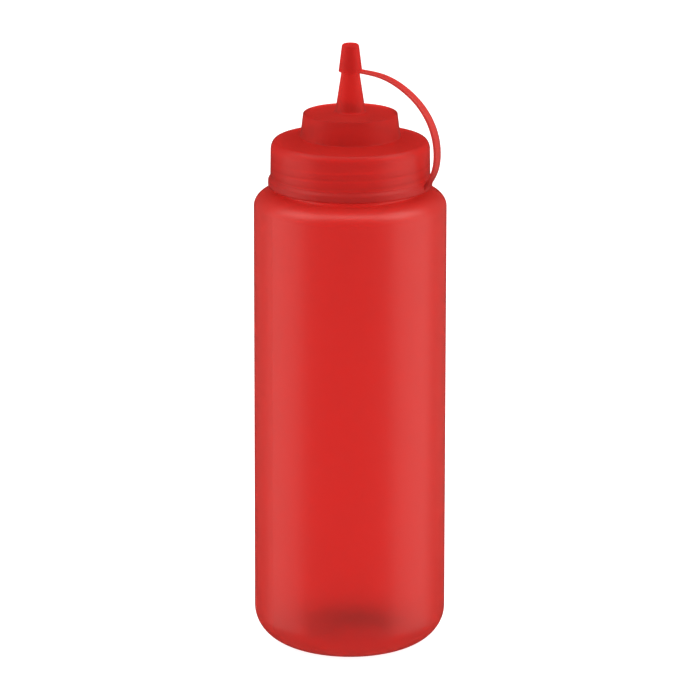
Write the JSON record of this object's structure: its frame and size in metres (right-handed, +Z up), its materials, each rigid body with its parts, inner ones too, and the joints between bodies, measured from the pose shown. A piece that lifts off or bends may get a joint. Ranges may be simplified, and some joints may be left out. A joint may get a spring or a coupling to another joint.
{
  "type": "squeeze bottle",
  "caption": "Empty translucent red squeeze bottle for sauce: soft round body, screw lid with a conical nozzle, and a nozzle cap on a strap.",
  "frame": {"origin": "middle of the bottle's foot, on the plane that it stands on", "axes": "+Z up along the bottle's axis, towards the nozzle; -Y towards the camera; the strap leaves the axis at 22 degrees from +X towards -Y"},
  "size_m": [0.09, 0.09, 0.2851],
  "materials": {
    "bottle_plastic": "soft translucent red polyethylene, satin, frosted",
    "lid_plastic": "translucent deep red moulded polyethylene, satin",
    "tether_plastic": "soft red moulded polyethylene, satin"
  },
  "bodies": {
    "root": {"bottle": "bottle_plastic", "lid": "lid_plastic", "tether_cap": "tether_plastic"}
  },
  "joints": []
}
